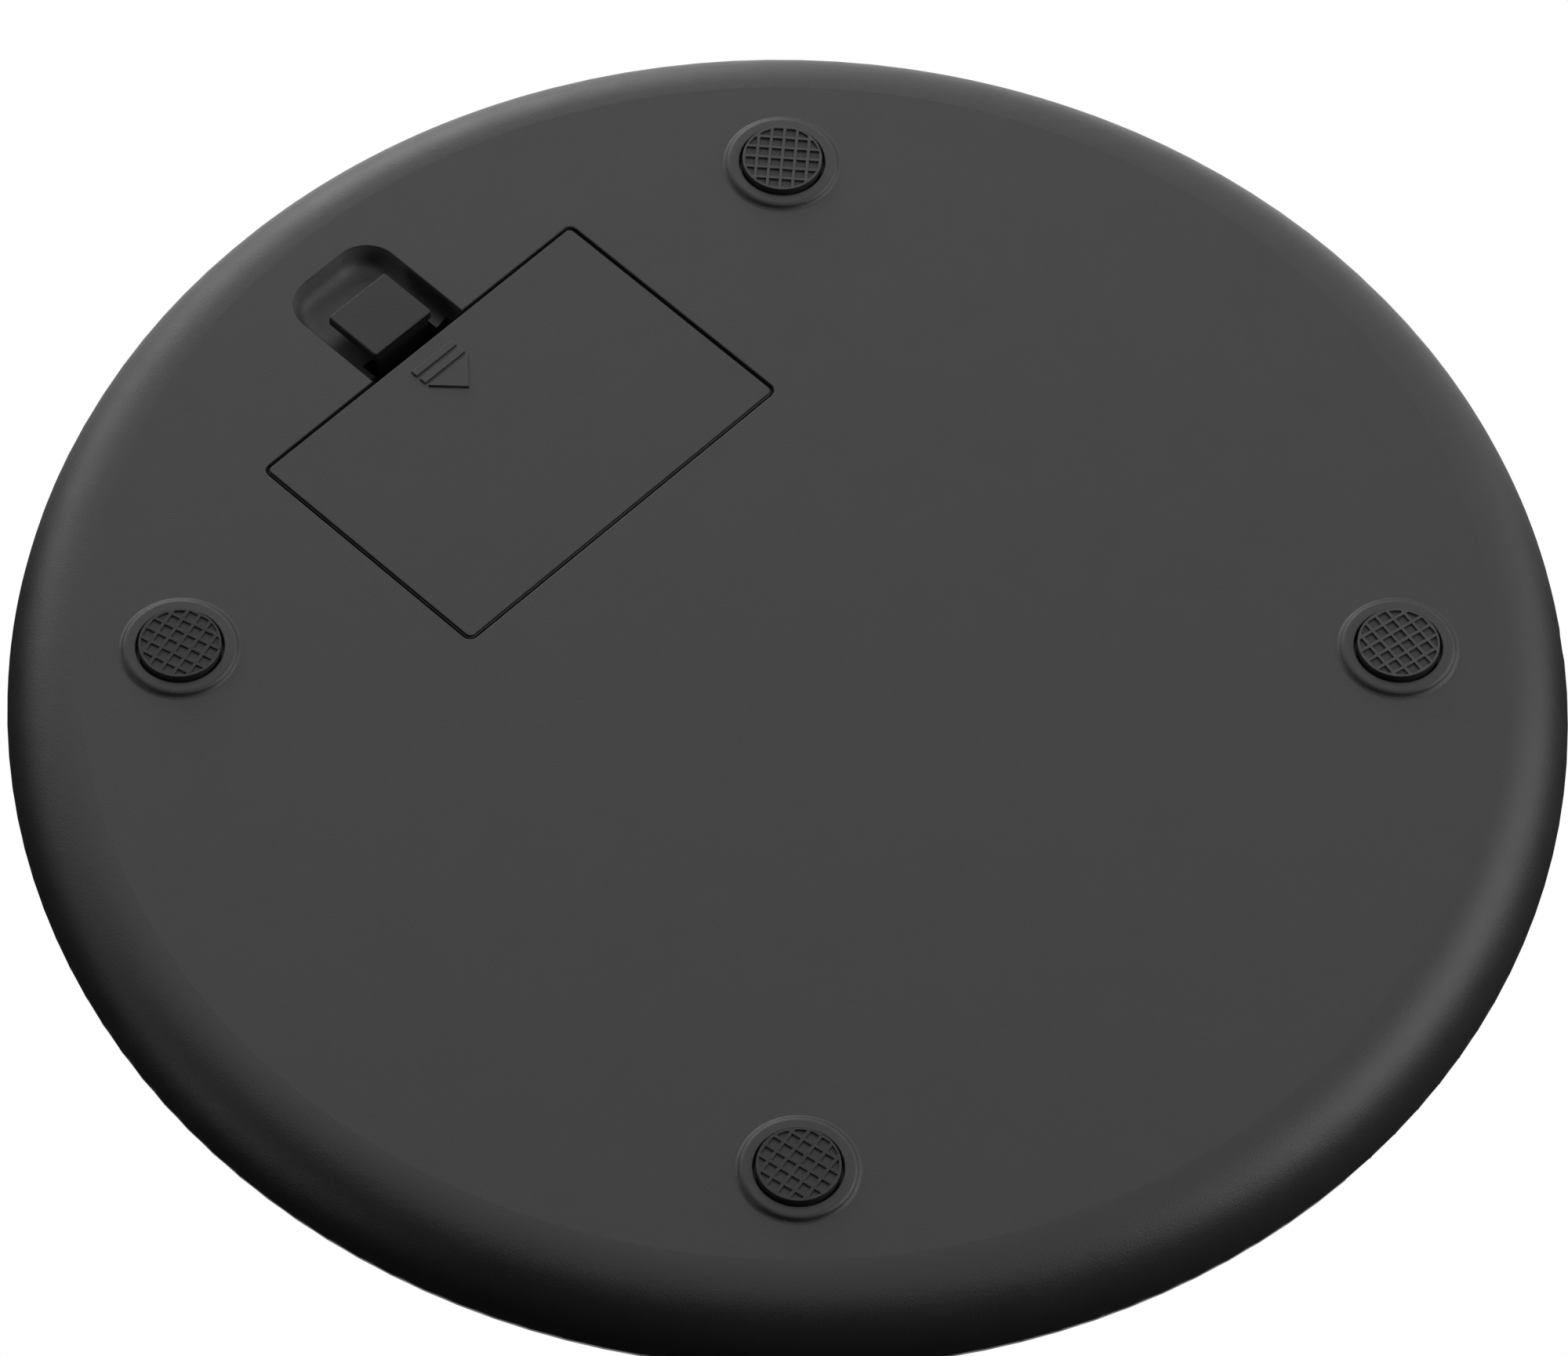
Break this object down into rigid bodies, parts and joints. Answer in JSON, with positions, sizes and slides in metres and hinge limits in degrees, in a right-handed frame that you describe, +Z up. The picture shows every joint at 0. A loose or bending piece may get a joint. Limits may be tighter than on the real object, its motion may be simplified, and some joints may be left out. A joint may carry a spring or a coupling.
{
  "type": "bathroom scale",
  "caption": "Round digital bathroom scale: a glass platform on a moulded tray with weighing feet, a hinged battery door and a snap latch.",
  "frame": {"origin": "on the floor under the middle of the platform, in the plane of the foot pads", "axes": "+Z up out of the platform, +Y towards the display, -Y towards the battery door"},
  "size_m": [0.335, 0.335, 0.0264],
  "materials": {
    "black_abs": "moulded ABS with a fine satin texture",
    "black_nylon": "moulded nylon",
    "black_rubber": "moulded rubber, matt",
    "platform_glass": "clear toughened float glass with polished edges",
    "back_print": "black ceramic print on the back of the glass",
    "bonding_tape": "double-sided acrylic foam tape",
    "eva_foam": "soft EVA foam",
    "spring_steel": "stamped and nickel-plated steel",
    "natural_abs": "moulded natural ABS",
    "gauge_foil": "polyimide foil with a silicone dab",
    "zinc_steel": "zinc-plated steel screws",
    "green_board": "glass-fibre board with green solder mask",
    "epoxy_black": "black epoxy",
    "component_tan": "ceramic and cased components",
    "white_nylon": "moulded white nylon",
    "display_glass": "liquid crystal panel with a grey-green reflector",
    "display_black": "liquid crystal segments, dark",
    "zebra_rubber": "layered conductive silicone",
    "light_acrylic": "opal acrylic",
    "battery_jacket": "printed film over a steel can, plain",
    "nickel_plate": "nickel-plated spring steel",
    "red_pvc": "PVC wire insulation",
    "black_pvc": "PVC wire insulation",
    "grey_pvc": "PVC ribbon lead"
  },
  "bodies": {
    "tray": {"platform_glass": "platform_glass", "glass_print": "back_print", "platform_tape": "bonding_tape", "cushion_pads": "eva_foam", "bottom_tray": "black_abs", "foot_pad_1": "black_rubber", "foot_pad_2": "black_rubber", "foot_pad_3": "black_rubber", "foot_pad_4": "black_rubber", "foot_plunger_1": "black_nylon", "foot_plunger_2": "black_nylon", "foot_plunger_3": "black_nylon", "foot_plunger_4": "black_nylon", "load_cell_1": "spring_steel", "load_cell_2": "spring_steel", "load_cell_3": "spring_steel", "load_cell_4": "spring_steel", "cell_clamp_1": "natural_abs", "cell_clamp_2": "natural_abs", "cell_clamp_3": "natural_abs", "cell_clamp_4": "natural_abs", "strain_gauge_1": "gauge_foil", "strain_gauge_2": "gauge_foil", "strain_gauge_3": "gauge_foil", "strain_gauge_4": "gauge_foil", "cell_lead_1": "grey_pvc", "cell_lead_2": "grey_pvc", "cell_lead_3": "grey_pvc", "cell_lead_4": "grey_pvc", "cell_screws": "zinc_steel", "main_board": "green_board", "board_chip": "epoxy_black", "board_parts": "component_tan", "lead_sockets": "white_nylon", "board_screws": "zinc_steel", "lcd_frame": "black_nylon", "lcd_panel": "display_glass", "lcd_segments": "display_black", "zebra_strips": "zebra_rubber", "light_panel": "light_acrylic", "battery_1": "battery_jacket", "battery_2": "battery_jacket", "battery_3": "battery_jacket", "battery_4": "battery_jacket", "battery_springs": "nickel_plate", "battery_plates": "nickel_plate", "battery_lead_red": "red_pvc", "battery_lead_black": "black_pvc", "unit_switch": "epoxy_black", "unit_board": "green_board", "unit_screws": "zinc_steel", "unit_lead": "grey_pvc"},
    "battery_door": {"battery_door": "black_abs"},
    "door_latch": {"door_latch": "black_abs"},
    "unit_button": {"unit_button": "white_nylon"}
  },
  "joints": [
    {"name": "battery_door_hinge", "type": "hinge", "parent": "tray", "child": "battery_door", "pos_m": [0, -0.05005, 0.0024], "axis": [1, 0, 0], "range_deg": [0, 60]},
    {"name": "door_latch_flex", "type": "hinge", "parent": "battery_door", "child": "door_latch", "pos_m": [0, -0.115, 0.016], "axis": [1, 0, 0], "range_deg": [0, 13], "stiffness_Nm_per_rad": 0.3},
    {"name": "unit_button_press", "type": "slide", "parent": "tray", "child": "unit_button", "axis": [0, 0, 1], "range_m": [0, 0.0006], "stiffness_N_per_m": 800}
  ]
}
